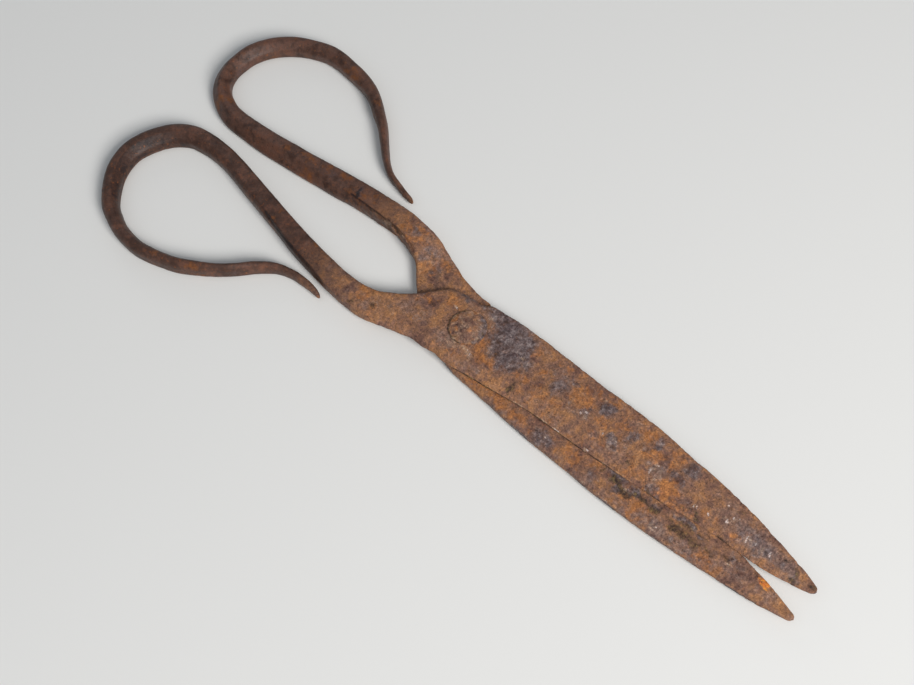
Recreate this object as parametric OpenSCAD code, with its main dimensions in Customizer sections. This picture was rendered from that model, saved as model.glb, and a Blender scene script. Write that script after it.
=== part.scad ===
// Hand-forged fabric shears.
//
// Two halves, each drawn out of one bar of iron: an open finger bow with a
// free tapered tail, a shank, a flat neck and a blade. They turn on one rivet,
// which is headed over the upper half and peened over a burr under the lower
// half.
//
// Frame: origin on the pivot axis, in the plane that the shears lie on.
// +X runs to the blade tips, +Z is up. The shears lie slightly open.

/* [Pivot] */
// Diameter of the rivet's shank
rivet_d = 6; // [4:0.5:7]
// Radial running clearance of the rivet in the upper half
run_clear = 0.05; // [0.02:0.01:0.1]
// Diameter of the low domed head
head_d = 11.5; // [9:0.5:13]
// Height of the head above the upper half
head_h = 1.1; // [0.6:0.1:2]
// Play between the head and the upper half
head_play = 0.05; // [0.02:0.01:0.1]
// Diameter of the burr under the lower half
burr_d = 11; // [9:0.5:13]
// Thickness of the burr
burr_t = 0.7; // [0.5:0.1:1]
// Diameter of the peened tail of the rivet
peen_d = 8.5; // [7:0.5:10]
// Thickness of the peened tail
peen_t = 0.5; // [0.3:0.1:1]

/* [Blades] */
// Thickness of each half at the pivot
plate_t = 2.4; // [1.8:0.1:3]
// Gap between the two flat inner faces
face_gap = 0.1; // [0.05:0.05:0.3]
// Thickness of a blade's spine at its tip
tip_t = 1.5; // [1.2:0.1:2]
// Thickness left at the cutting edge
edge_t = 0.4; // [0.3:0.1:0.8]
// Width of the bevel beside the cutting edge
bevel_w = 3; // [1:0.5:4]

/* [Bows] */
// Height of the forged bar in the shanks and bows
bar_h = 6.4; // [5.8:0.2:7]
// Radius of the bar's worn corners
bar_r = 1.8; // [0.8:0.2:2.4]

/* [Smoothness] */
// Rings between one station of a half and the next
steps = 2; // [2:1:4]

/* [Hidden] */
$fn = 64;

low_z  = peen_t + burr_t;        // underside of the lower half at the pivot
mid_z  = low_z + plate_t;        // inner face of the lower half
up_z   = mid_z + face_gap;       // inner face of the upper half
top_z  = up_z + plate_t;         // outer face of the upper half
head_z = top_z + head_play;      // underside of the rivet head

// Stations of a half, from the free tail of its bow to the tip of its blade:
// [ x, y, width, inner height, outer height, blade ]
// The inner height is the side that faces the other half. The last number
// goes from 0, a bar with round corners, to 1, a blade with a bevelled edge.
upper_line = [
    [ -43.5, -21.0,  1.0, 1.4, 3.4, 0],
    [ -46.5, -20.5,  1.8, 1.0, 3.8, 0],
    [ -51.0, -20.5,  2.5, 0.6, 4.2, 0],
    [ -56.0, -21.0,  2.6, 0.4, 4.6, 0],
    [ -61.5, -23.0,  2.8, 0.2, 5.0, 0],
    [ -66.5, -27.0,  3.0, 0, 5.4, 0],
    [ -71.0, -32.0,  3.0, 0, 5.8, 0],
    [ -76.0, -36.5,  3.2, 0, 6.0, 0],
    [ -81.0, -40.0,  3.4, 0, bar_h, 0],
    [ -86.0, -43.0,  3.8, 0, bar_h, 0],
    [ -91.0, -45.0,  4.0, 0, bar_h, 0],
    [ -96.0, -46.5,  4.2, 0, bar_h, 0],
    [-101.0, -47.5,  4.4, 0, bar_h, 0],
    [-106.0, -47.5,  4.6, 0, bar_h, 0],
    [-111.0, -47.0,  4.8, 0, bar_h, 0],
    [-116.0, -45.5,  5.0, 0, bar_h, 0],
    [-121.5, -43.0,  5.4, 0, bar_h, 0],
    [-128.0, -37.0,  6.0, 0, bar_h, 0],
    [-131.5, -31.5,  6.6, 0, bar_h, 0],
    [-133.0, -25.0,  6.8, 0, bar_h, 0],
    [-131.5, -18.5,  6.8, 0, bar_h, 0],
    [-127.5, -12.0,  6.8, 0, bar_h, 0],
    [-122.0,  -8.0,  6.6, 0, bar_h, 0],
    [-116.0,  -6.5,  6.4, 0, bar_h, 0],
    [-109.5,  -6.0,  6.2, 0, bar_h, 0],
    [-101.0,  -6.5,  6.2, 0, bar_h, 0],
    [ -91.0,  -8.0,  6.4, 0, bar_h, 0],
    [ -81.0,  -9.5,  6.6, 0, bar_h, 0],
    [ -71.0, -11.0,  6.8, 0, bar_h, 0],
    [ -61.0, -12.5,  7.2, 0, bar_h, 0],
    [ -51.0, -13.5,  7.4, 0, bar_h, 0],
    [ -43.5, -14.0,  7.6, 0, bar_h, 0],
    [ -36.5, -14.0,  8.0, 0, bar_h, 0],
    [ -31.0, -13.5,  8.8, 0.4, bar_h, 0],
    [ -26.5, -12.5, 10.0, 2.2, bar_h, 0.3],
    [ -22.5, -10.0, 12.5, up_z, top_z, 0.7],
    [ -20.0,  -8.5, 14.0, up_z, top_z, 1],
    [ -18.5,  -7.0, 16.0, up_z, top_z, 1],
    [ -17.0,  -5.5, 18.0, up_z, top_z, 1],
    [ -15.0,  -4.0, 20.0, up_z, top_z, 1],
    [ -11.5,  -2.5, 20.5, up_z, top_z, 1],
    [  -6.5,  -2.0, 21.0, up_z, top_z, 1],
    [  -2.5,  -1.5, 20.5, up_z, top_z, 1],
    [  -0.5,  -1.0, 22.0, up_z, top_z, 1],
    [   4.0,  -0.5, 22.5, up_z, top_z, 1],
    [  10.5,   0.5, 22.0, up_z, top_z, 1],
    [  20.0,   1.5, 21.0, up_z, top_z, 1],
    [  32.0,   2.5, 19.0, up_z, top_z, 1],
    [  45.0,   3.0, 18.5, up_z, top_z - 0.1, 1],
    [  60.0,   4.0, 17.5, up_z, top_z - 0.3, 1],
    [  75.0,   4.5, 15.0, up_z, top_z - 0.5, 1],
    [  85.0,   5.0, 13.0, up_z, top_z - 0.6, 1],
    [  95.0,   5.0, 11.0, up_z, top_z - 0.7, 1],
    [ 105.0,   4.5,  8.5, up_z, up_z + tip_t + 0.1, 1],
    [ 114.0,   4.5,  5.0, up_z, up_z + tip_t, 1],
    [ 118.5,   4.5,  2.6, up_z, up_z + tip_t, 1],
    [ 120.0,   4.5,  1.2, up_z, up_z + tip_t, 1]
];
lower_line = [
    [ -47.0,  22.0,  1.0, 3.4, 1.2, 0],
    [ -50.5,  22.5,  1.6, 3.8, 0.8, 0],
    [ -55.5,  23.5,  2.0, 4.2, 0.5, 0],
    [ -60.5,  25.0,  2.2, 4.6, 0.3, 0],
    [ -65.5,  28.0,  2.4, 5.0, 0.1, 0],
    [ -70.5,  32.0,  2.8, 5.4, 0, 0],
    [ -75.5,  36.0,  3.4, 5.8, 0, 0],
    [ -80.5,  39.0,  4.0, 6.0, 0, 0],
    [ -85.5,  42.0,  4.4, bar_h, 0, 0],
    [ -90.5,  44.0,  4.6, bar_h, 0, 0],
    [ -95.5,  45.0,  4.8, bar_h, 0, 0],
    [-100.5,  45.5,  5.0, bar_h, 0, 0],
    [-106.5,  46.0,  5.0, bar_h, 0, 0],
    [-112.5,  45.5,  5.2, bar_h, 0, 0],
    [-118.5,  43.5,  5.4, bar_h, 0, 0],
    [-123.5,  41.0,  5.8, bar_h, 0, 0],
    [-128.0,  37.5,  6.0, bar_h, 0, 0],
    [-131.5,  33.5,  6.2, bar_h, 0, 0],
    [-134.0,  28.5,  6.4, bar_h, 0, 0],
    [-134.5,  23.5,  6.4, bar_h, 0, 0],
    [-134.0,  18.5,  6.4, bar_h, 0, 0],
    [-132.0,  14.0,  6.4, bar_h, 0, 0],
    [-128.5,  10.5,  6.6, bar_h, 0, 0],
    [-123.5,   8.0,  6.8, bar_h, 0, 0],
    [-117.5,   6.5,  6.8, bar_h, 0, 0],
    [-108.5,   6.5,  7.0, bar_h, 0, 0],
    [-100.5,   7.0,  7.2, bar_h, 0, 0],
    [ -92.0,   8.0,  7.4, bar_h, 0, 0],
    [ -80.5,   9.5,  7.6, bar_h, 0, 0],
    [ -70.5,  11.0,  7.8, bar_h, 0, 0],
    [ -60.5,  12.5,  7.8, bar_h, 0, 0],
    [ -50.5,  13.5,  7.8, bar_h, 0, 0],
    [ -43.0,  14.0,  8.0, bar_h, 0, 0],
    [ -36.5,  13.5,  8.6, bar_h, 0, 0],
    [ -31.0,  12.5,  9.6, bar_h - 0.4, 0, 0],
    [ -26.5,  11.0, 10.5, 4.6, 0.3, 0.3],
    [ -22.5,   7.5, 14.0, mid_z, low_z, 0.7],
    [ -20.0,   6.5, 15.5, mid_z, low_z, 1],
    [ -18.0,   5.5, 16.5, mid_z, low_z, 1],
    [ -16.0,   4.0, 17.5, mid_z, low_z, 1],
    [ -13.5,   3.0, 18.5, mid_z, low_z, 1],
    [ -10.0,   2.0, 19.5, mid_z, low_z, 1],
    [  -6.0,   1.5, 19.5, mid_z, low_z, 1],
    [  -2.0,   1.0, 20.5, mid_z, low_z, 1],
    [   0.5,   0.0, 22.0, mid_z, low_z, 1],
    [   4.0,  -0.5, 23.0, mid_z, low_z, 1],
    [  10.5,  -1.0, 22.5, mid_z, low_z, 1],
    [  20.0,  -1.5, 22.0, mid_z, low_z, 1],
    [  34.0,  -3.0, 20.0, mid_z, low_z, 1],
    [  49.0,  -3.5, 18.5, mid_z, low_z + 0.1, 1],
    [  60.0,  -4.0, 17.5, mid_z, low_z + 0.3, 1],
    [  75.0,  -4.5, 15.0, mid_z, low_z + 0.5, 1],
    [  85.0,  -4.5, 13.0, mid_z, low_z + 0.6, 1],
    [  97.0,  -4.5, 10.0, mid_z, low_z + 0.7, 1],
    [ 108.0,  -4.5,  7.0, mid_z, mid_z - tip_t - 0.1, 1],
    [ 115.0,  -4.5,  4.0, mid_z, mid_z - tip_t, 1],
    [ 118.5,  -4.5,  2.4, mid_z, mid_z - tip_t, 1],
    [ 120.0,  -4.5,  1.2, mid_z, mid_z - tip_t, 1]
];

// Smooth curve through four numbers, at t from 0 to 1 between b and c.
function curve(a, b, c, d, t) = 0.5 * ((2 * b) + (c - a) * t
    + (2 * a - 5 * b + 4 * c - d) * t * t + (3 * b - a - 3 * c + d) * t * t * t);

// One station between rows i and i + 1: place and width on the curve, heights
// on straight lines, so that the flat inner faces stay flat.
function between(rows, i, t) =
    let (n = len(rows) - 1,
         p = rows[max(i - 1, 0)], q = rows[i],
         r = rows[min(i + 1, n)], s = rows[min(i + 2, n)])
    [for (k = [0:5]) k < 3 ? curve(p[k], q[k], r[k], s[k], t)
                           : q[k] + (r[k] - q[k]) * t];

function stations(rows) = concat(
    [for (i = [0:len(rows) - 2]) for (j = [0:steps - 1]) between(rows, i, j / steps)],
    [rows[len(rows) - 1]]);

// A quarter ellipse cut off a corner at (u, z): three points from the side of
// the section to its flat, or back again.
function corner(u, z, a, b, back) =
    [for (q = back ? [90, 45, 0] : [0, 45, 90])
        [u[0] * (u[1] - a) + u[0] * a * cos(q), z[1] - z[0] * b + z[0] * b * sin(q)]];

// Section of a half at a station, 12 points in (across, up). Across is
// positive on the spine's side.
function section(s) =
    let (w = s[2] / 2, zi = s[3], zo = s[4], m = s[5],
         h = abs(zo - zi), d = zo > zi ? 1 : -1,
         r = min(bar_r, 0.3 * s[2], 0.4 * h),
         spine = r + (min(0.5, 0.2 * s[2]) - r) * m,
         bev_a = r + (min(bevel_w, 0.6 * s[2]) - r) * m,
         bev_b = r + (h - edge_t - 0.1 - r) * m,
         inner = r + (0.1 - r) * m)
    concat(
        corner([ 1, w], [ d, zo], spine, spine, false),
        corner([-1, w], [ d, zo], bev_a, bev_b, true),
        corner([-1, w], [-d, zi], inner, inner, false),
        corner([ 1, w], [-d, zi], inner, inner, true));

// Heading of a section between points a and b: along the bar, swinging round to
// +X as the bar (m = 0) becomes a blade (m = 1).
function heading(a, b, m) =
    let (t = atan2(b[1] - a[1], b[0] - a[0])) m == 1 ? 0 : t * (1 - m);

// Solid through all the sections. side is 1 where the spine is to the left of
// the way from tail to tip, and -1 where it is to the right.
module forged_half(rows, side) {
    st = stations(rows);
    n = len(st);
    k = 12;
    pts = [for (i = [0:n - 1])
        let (t = heading(st[max(i - 1, 0)], st[min(i + 1, n - 1)], st[i][5]))
        for (p = section(st[i]))
            [st[i][0] - side * p[0] * sin(t), st[i][1] + side * p[0] * cos(t), p[1]]];
    faces = concat(
        [for (j = [1:k - 2]) [0, j, j + 1]],
        [for (i = [0:n - 2]) for (j = [0:k - 1])
            let (a = i * k + j, b = i * k + (j + 1) % k) [a, a + k, b]],
        [for (i = [0:n - 2]) for (j = [0:k - 1])
            let (a = i * k + j, b = i * k + (j + 1) % k) [b, a + k, b + k]],
        [for (j = [1:k - 2]) [(n - 1) * k, (n - 1) * k + j + 1, (n - 1) * k + j]]);
    polyhedron(points = pts, faces = faces, convexity = 8);
}

// Upper half: the bow on the -Y side and the blade that lies on top.
module upper_half() {
    color([0.42, 0.27, 0.2])
    difference() {
        forged_half(upper_line, 1);
        translate([0, 0, up_z - 1]) cylinder(d = rivet_d + 2 * run_clear, h = plate_t + 2);
    }
}

// Lower half: the bow on the +Y side and the blade underneath.
module lower_half() {
    color([0.36, 0.24, 0.19])
    difference() {
        forged_half(lower_line, -1);
        translate([0, 0, low_z - 1]) cylinder(d = rivet_d, h = plate_t + 2);
    }
}

// Rivet: low domed head, round shank, and a flat peened tail that the shears
// rest on.
module pivot_rivet() {
    sag = head_h * 0.55;                      // rise of the dome above its rim
    rim = head_h - sag;
    rad = (head_d * head_d / 4 + sag * sag) / (2 * sag);
    color([0.33, 0.24, 0.22])
    union() {
        cylinder(d = rivet_d, h = head_z + 0.2);
        cylinder(d = peen_d, h = peen_t);
        translate([0, 0, head_z])
            intersection() {
                cylinder(d = head_d, h = head_h + 1);
                translate([0, 0, rim + sag - rad]) sphere(r = rad);
            }
    }
}

// Burr: the flat washer that the rivet's tail is peened over.
module rivet_washer() {
    color([0.3, 0.22, 0.2])
    translate([0, 0, peen_t])
        difference() {
            cylinder(d = burr_d, h = burr_t);
            translate([0, 0, -1]) cylinder(d = rivet_d, h = burr_t + 2);
        }
}

upper_half();
lower_half();
pivot_rivet();
rivet_washer();
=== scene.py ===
import math

import bmesh
import bpy
import numpy as np
from mathutils import Matrix


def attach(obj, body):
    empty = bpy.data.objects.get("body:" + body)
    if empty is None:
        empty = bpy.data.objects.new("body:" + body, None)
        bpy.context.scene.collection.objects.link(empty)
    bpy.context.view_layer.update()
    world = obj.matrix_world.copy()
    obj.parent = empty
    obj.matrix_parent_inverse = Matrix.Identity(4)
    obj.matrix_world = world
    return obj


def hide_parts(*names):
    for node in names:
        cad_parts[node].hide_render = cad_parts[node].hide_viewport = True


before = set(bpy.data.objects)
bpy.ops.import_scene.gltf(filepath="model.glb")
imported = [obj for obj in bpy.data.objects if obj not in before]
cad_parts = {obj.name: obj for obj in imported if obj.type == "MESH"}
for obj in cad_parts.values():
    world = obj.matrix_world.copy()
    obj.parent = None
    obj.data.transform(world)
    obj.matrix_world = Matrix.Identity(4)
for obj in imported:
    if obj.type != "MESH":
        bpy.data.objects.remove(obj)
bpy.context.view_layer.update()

# ---------------------------------------------------------------- sizes, in mm
MM = 0.001
BAR_H = 6.4
LOW_Z, MID_Z, UP_Z, TOP_Z = 1.2, 3.6, 3.7, 6.1
HEAD_Z = 6.15
TIP_T = 1.5

# Stations of each half from the tail of its bow to the tip of its blade:
# x, y, width, inner height, outer height, blade (0 bar, 1 blade).
UPPER = [
    [-43.5, -21.0, 1.0, 1.4, 3.4, 0], [-46.5, -20.5, 1.8, 1.0, 3.8, 0],
    [-51.0, -20.5, 2.5, 0.6, 4.2, 0], [-56.0, -21.0, 2.6, 0.4, 4.6, 0],
    [-61.5, -23.0, 2.8, 0.2, 5.0, 0], [-66.5, -27.0, 3.0, 0, 5.4, 0],
    [-71.0, -32.0, 3.0, 0, 5.8, 0], [-76.0, -36.5, 3.2, 0, 6.0, 0],
    [-81.0, -40.0, 3.4, 0, BAR_H, 0], [-86.0, -43.0, 3.8, 0, BAR_H, 0],
    [-91.0, -45.0, 4.0, 0, BAR_H, 0], [-96.0, -46.5, 4.2, 0, BAR_H, 0],
    [-101.0, -47.5, 4.4, 0, BAR_H, 0], [-106.0, -47.5, 4.6, 0, BAR_H, 0],
    [-111.0, -47.0, 4.8, 0, BAR_H, 0], [-116.0, -45.5, 5.0, 0, BAR_H, 0],
    [-121.5, -43.0, 5.4, 0, BAR_H, 0], [-128.0, -37.0, 6.0, 0, BAR_H, 0],
    [-131.5, -31.5, 6.6, 0, BAR_H, 0], [-133.0, -25.0, 6.8, 0, BAR_H, 0],
    [-131.5, -18.5, 6.8, 0, BAR_H, 0], [-127.5, -12.0, 6.8, 0, BAR_H, 0],
    [-122.0, -8.0, 6.6, 0, BAR_H, 0], [-116.0, -6.5, 6.4, 0, BAR_H, 0],
    [-109.5, -6.0, 6.2, 0, BAR_H, 0], [-101.0, -6.5, 6.2, 0, BAR_H, 0],
    [-91.0, -8.0, 6.4, 0, BAR_H, 0], [-81.0, -9.5, 6.6, 0, BAR_H, 0],
    [-71.0, -11.0, 6.8, 0, BAR_H, 0], [-61.0, -12.5, 7.2, 0, BAR_H, 0],
    [-51.0, -13.5, 7.4, 0, BAR_H, 0], [-43.5, -14.0, 7.6, 0, BAR_H, 0],
    [-36.5, -14.0, 8.0, 0, BAR_H, 0], [-31.0, -13.5, 8.8, 0.4, BAR_H, 0],
    [-26.5, -12.5, 10.0, 2.2, BAR_H, 0.3], [-22.5, -10.0, 12.5, UP_Z, TOP_Z, 0.7],
    [-20.0, -8.5, 14.0, UP_Z, TOP_Z, 1], [-18.5, -7.0, 16.0, UP_Z, TOP_Z, 1],
    [-17.0, -5.5, 18.0, UP_Z, TOP_Z, 1], [-15.0, -4.0, 20.0, UP_Z, TOP_Z, 1],
    [-11.5, -2.5, 20.5, UP_Z, TOP_Z, 1], [-6.5, -2.0, 21.0, UP_Z, TOP_Z, 1],
    [-2.5, -1.5, 20.5, UP_Z, TOP_Z, 1], [-0.5, -1.0, 22.0, UP_Z, TOP_Z, 1],
    [4.0, -0.5, 22.5, UP_Z, TOP_Z, 1], [10.5, 0.5, 22.0, UP_Z, TOP_Z, 1],
    [20.0, 1.5, 21.0, UP_Z, TOP_Z, 1], [32.0, 2.5, 19.0, UP_Z, TOP_Z, 1],
    [45.0, 3.0, 18.5, UP_Z, TOP_Z - 0.1, 1], [60.0, 4.0, 17.5, UP_Z, TOP_Z - 0.3, 1],
    [75.0, 4.5, 15.0, UP_Z, TOP_Z - 0.5, 1], [85.0, 5.0, 13.0, UP_Z, TOP_Z - 0.6, 1],
    [95.0, 5.0, 11.0, UP_Z, TOP_Z - 0.7, 1], [105.0, 4.5, 8.5, UP_Z, UP_Z + TIP_T + 0.1, 1],
    [114.0, 4.5, 5.0, UP_Z, UP_Z + TIP_T, 1], [118.5, 4.5, 2.6, UP_Z, UP_Z + TIP_T, 1],
    [120.0, 4.5, 1.2, UP_Z, UP_Z + TIP_T, 1],
]
LOWER = [
    [-47.0, 22.0, 1.0, 3.4, 1.2, 0], [-50.5, 22.5, 1.6, 3.8, 0.8, 0],
    [-55.5, 23.5, 2.0, 4.2, 0.5, 0], [-60.5, 25.0, 2.2, 4.6, 0.3, 0],
    [-65.5, 28.0, 2.4, 5.0, 0.1, 0], [-70.5, 32.0, 2.8, 5.4, 0, 0],
    [-75.5, 36.0, 3.4, 5.8, 0, 0], [-80.5, 39.0, 4.0, 6.0, 0, 0],
    [-85.5, 42.0, 4.4, BAR_H, 0, 0], [-90.5, 44.0, 4.6, BAR_H, 0, 0],
    [-95.5, 45.0, 4.8, BAR_H, 0, 0], [-100.5, 45.5, 5.0, BAR_H, 0, 0],
    [-106.5, 46.0, 5.0, BAR_H, 0, 0], [-112.5, 45.5, 5.2, BAR_H, 0, 0],
    [-118.5, 43.5, 5.4, BAR_H, 0, 0], [-123.5, 41.0, 5.8, BAR_H, 0, 0],
    [-128.0, 37.5, 6.0, BAR_H, 0, 0], [-131.5, 33.5, 6.2, BAR_H, 0, 0],
    [-134.0, 28.5, 6.4, BAR_H, 0, 0], [-134.5, 23.5, 6.4, BAR_H, 0, 0],
    [-134.0, 18.5, 6.4, BAR_H, 0, 0], [-132.0, 14.0, 6.4, BAR_H, 0, 0],
    [-128.5, 10.5, 6.6, BAR_H, 0, 0], [-123.5, 8.0, 6.8, BAR_H, 0, 0],
    [-117.5, 6.5, 6.8, BAR_H, 0, 0], [-108.5, 6.5, 7.0, BAR_H, 0, 0],
    [-100.5, 7.0, 7.2, BAR_H, 0, 0], [-92.0, 8.0, 7.4, BAR_H, 0, 0],
    [-80.5, 9.5, 7.6, BAR_H, 0, 0], [-70.5, 11.0, 7.8, BAR_H, 0, 0],
    [-60.5, 12.5, 7.8, BAR_H, 0, 0], [-50.5, 13.5, 7.8, BAR_H, 0, 0],
    [-43.0, 14.0, 8.0, BAR_H, 0, 0], [-36.5, 13.5, 8.6, BAR_H, 0, 0],
    [-31.0, 12.5, 9.6, BAR_H - 0.4, 0, 0], [-26.5, 11.0, 10.5, 4.6, 0.3, 0.3],
    [-22.5, 7.5, 14.0, MID_Z, LOW_Z, 0.7], [-20.0, 6.5, 15.5, MID_Z, LOW_Z, 1],
    [-18.0, 5.5, 16.5, MID_Z, LOW_Z, 1], [-16.0, 4.0, 17.5, MID_Z, LOW_Z, 1],
    [-13.5, 3.0, 18.5, MID_Z, LOW_Z, 1], [-10.0, 2.0, 19.5, MID_Z, LOW_Z, 1],
    [-6.0, 1.5, 19.5, MID_Z, LOW_Z, 1], [-2.0, 1.0, 20.5, MID_Z, LOW_Z, 1],
    [0.5, 0.0, 22.0, MID_Z, LOW_Z, 1], [4.0, -0.5, 23.0, MID_Z, LOW_Z, 1],
    [10.5, -1.0, 22.5, MID_Z, LOW_Z, 1], [20.0, -1.5, 22.0, MID_Z, LOW_Z, 1],
    [34.0, -3.0, 20.0, MID_Z, LOW_Z, 1], [49.0, -3.5, 18.5, MID_Z, LOW_Z + 0.1, 1],
    [60.0, -4.0, 17.5, MID_Z, LOW_Z + 0.3, 1], [75.0, -4.5, 15.0, MID_Z, LOW_Z + 0.5, 1],
    [85.0, -4.5, 13.0, MID_Z, LOW_Z + 0.6, 1], [97.0, -4.5, 10.0, MID_Z, LOW_Z + 0.7, 1],
    [108.0, -4.5, 7.0, MID_Z, MID_Z - TIP_T - 0.1, 1], [115.0, -4.5, 4.0, MID_Z, MID_Z - TIP_T, 1],
    [118.5, -4.5, 2.4, MID_Z, MID_Z - TIP_T, 1], [120.0, -4.5, 1.2, MID_Z, MID_Z - TIP_T, 1],
]

# How the top corners of the bars are worked, by station number:
# station, then across and down for the corner on the left of the way from
# tail to tip (A), and the same for the corner on its right (B).
# A large cut leaves a ridge near the middle of the bar.
UPPER_WORK = [
    [0, 0.3, 0.6, 0.3, 0.6], [3, 0.8, 1.3, 0.8, 1.3], [8, 1.1, 1.6, 1.1, 1.6],
    [12, 1.5, 1.6, 1.3, 1.7], [16, 1.6, 1.7, 1.7, 1.9], [18, 1.4, 1.4, 2.8, 2.3],
    [19, 1.2, 1.2, 3.2, 2.5], [21, 1.0, 1.1, 3.0, 2.4], [23, 0.9, 1.0, 2.3, 2.1],
    [25, 0.9, 0.9, 1.8, 1.9], [26, 0.8, 0.9, 1.4, 1.6], [28, 0.8, 0.8, 0.9, 1.2],
    [30, 0.8, 0.8, 0.7, 1.0], [32, 0.8, 0.8, 0.7, 1.0], [34, 0.7, 0.7, 0.8, 1.2],
    [36, 1.2, 1.1, 1.1, 1.5], [38, 1.7, 1.2, 1.2, 1.6], [41, 1.7, 1.2, 1.3, 1.6], [42, 1.0, 0.9, 1.4, 1.5],
    [43, 0.4, 0.4, 1.6, 1.4],
    [45, 0.4, 0.4, 3.2, 1.9], [47, 0.4, 0.4, 4.4, 2.05], [50, 0.4, 0.4, 4.6, 1.75], [54, 0.3, 0.3, 2.6, 1.1],
    [56, 0.2, 0.3, 0.4, 0.6],
]
LOWER_WORK = [
    [0, 0.3, 0.6, 0.3, 0.6], [3, 0.7, 1.2, 0.7, 1.2], [7, 1.2, 1.7, 1.0, 1.4],
    [10, 1.9, 2.1, 0.9, 1.2], [13, 2.1, 2.2, 1.0, 1.2], [16, 2.6, 2.2, 1.4, 1.6],
    [19, 2.9, 2.4, 2.4, 2.4], [22, 2.0, 1.9, 2.8, 3.0], [25, 1.0, 1.1, 2.8, 3.6],
    [27, 0.8, 0.9, 3.2, 4.0], [28, 0.8, 0.9, 2.8, 3.8], [29, 0.8, 0.8, 2.3, 3.4],
    [30, 0.8, 0.8, 1.6, 2.8], [31, 0.8, 0.8, 0.9, 1.8], [33, 0.8, 0.8, 0.7, 1.0],
    [35, 0.7, 0.7, 0.7, 0.8], [37, 0.4, 0.5, 0.4, 0.5], [57, 0.2, 0.2, 0.3, 0.3],
]


# ------------------------------------------------------------------ noise
def lattice(ix, iy, iz, seed):
    """A number from 0 to 1 for each cell of a lattice, the same every run."""
    h = (
        ix.astype(np.uint32) * np.uint32(374761393)
        + iy.astype(np.uint32) * np.uint32(668265263)
        + iz.astype(np.uint32) * np.uint32(2147483647)
        + np.uint32((seed * 144665 + 12345) & 0xFFFFFFFF)
    )
    h = (h ^ (h >> np.uint32(13))) * np.uint32(1274126177)
    h = (h ^ (h >> np.uint32(16))) * np.uint32(2246822519)
    h = h ^ (h >> np.uint32(15))
    return h.astype(np.float64) / 4294967295.0


def noise(p, size, seed):
    """Smooth gradient noise from about -1 to 1. size is the wavelength in mm."""
    q = p / size
    base = np.floor(q).astype(np.int64)
    f = q - base
    s = f * f * f * (f * (f * 6 - 15) + 10)
    out = np.zeros(len(p))
    for dx in (0, 1):
        for dy in (0, 1):
            for dz in (0, 1):
                i, j, k = base[:, 0] + dx, base[:, 1] + dy, base[:, 2] + dz
                a = lattice(i, j, k, seed) * 2 * math.pi
                c = lattice(i, j, k, seed + 71) * 2 - 1
                r = np.sqrt(np.maximum(0, 1 - c * c))
                g = (
                    r * np.cos(a) * (f[:, 0] - dx)
                    + r * np.sin(a) * (f[:, 1] - dy)
                    + c * (f[:, 2] - dz)
                )
                w = (
                    (s[:, 0] if dx else 1 - s[:, 0])
                    * (s[:, 1] if dy else 1 - s[:, 1])
                    * (s[:, 2] if dz else 1 - s[:, 2])
                )
                out += w * g
    return out * 1.6


def layers(p, size, seed, n=4, gain=0.5):
    out, a = np.zeros(len(p)), 1.0
    for i in range(n):
        out += a * noise(p, size, seed + 13 * i)
        size *= 0.5
        a *= gain
    return out


def cells(p, size, seed):
    """Distance to the nearest and second nearest of scattered points, in units of size, and the nearest one's own random number."""
    q = p / size
    base = np.floor(q).astype(np.int64)
    f1 = np.full(len(p), 9.0)
    f2 = np.full(len(p), 9.0)
    rnd = np.zeros(len(p))
    for dx in (-1, 0, 1):
        for dy in (-1, 0, 1):
            for dz in (-1, 0, 1):
                i, j, k = base[:, 0] + dx, base[:, 1] + dy, base[:, 2] + dz
                px = i + lattice(i, j, k, seed)
                py = j + lattice(i, j, k, seed + 1)
                pz = k + lattice(i, j, k, seed + 2)
                d = np.sqrt((q[:, 0] - px) ** 2 + (q[:, 1] - py) ** 2 + (q[:, 2] - pz) ** 2)
                near = d < f1
                f2 = np.where(near, f1, np.minimum(f2, d))
                rnd = np.where(near, lattice(i, j, k, seed + 3), rnd)
                f1 = np.where(near, d, f1)
    return f1, f2, rnd


def step(a, b, v):
    t = np.clip((v - a) / (b - a), 0, 1)
    return t * t * (3 - 2 * t)


# ------------------------------------------------------------- lofted halves
def catmull(rows, u):
    """x, y and width on a smooth curve through the stations, at station numbers u."""
    rows = np.asarray(rows, float)
    n = len(rows) - 1
    i = np.clip(np.floor(u).astype(int), 0, n - 1)
    t = (u - i)[:, None]
    a, b = rows[np.clip(i - 1, 0, n)], rows[i]
    c, d = rows[np.clip(i + 1, 0, n)], rows[np.clip(i + 2, 0, n)]
    return 0.5 * (2 * b + (c - a) * t + (2 * a - 5 * b + 4 * c - d) * t * t
                  + (3 * b - a - 3 * c + d) * t ** 3)


def soften(v, spacing, sigma):
    k = max(1, int(3 * sigma / spacing))
    w = np.exp(-0.5 * (np.arange(-k, k + 1) * spacing / sigma) ** 2)
    w /= w.sum()
    return np.convolve(np.pad(v, k, mode="edge"), w, mode="valid")


# Segments along the top, right corner, right side, right lower corner, bottom,
# left lower corner, left side and left corner of a section, and in each bend.
SPLIT = (30, 8, 5, 6, 27, 3, 5, 4)
BEND = 2


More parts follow.
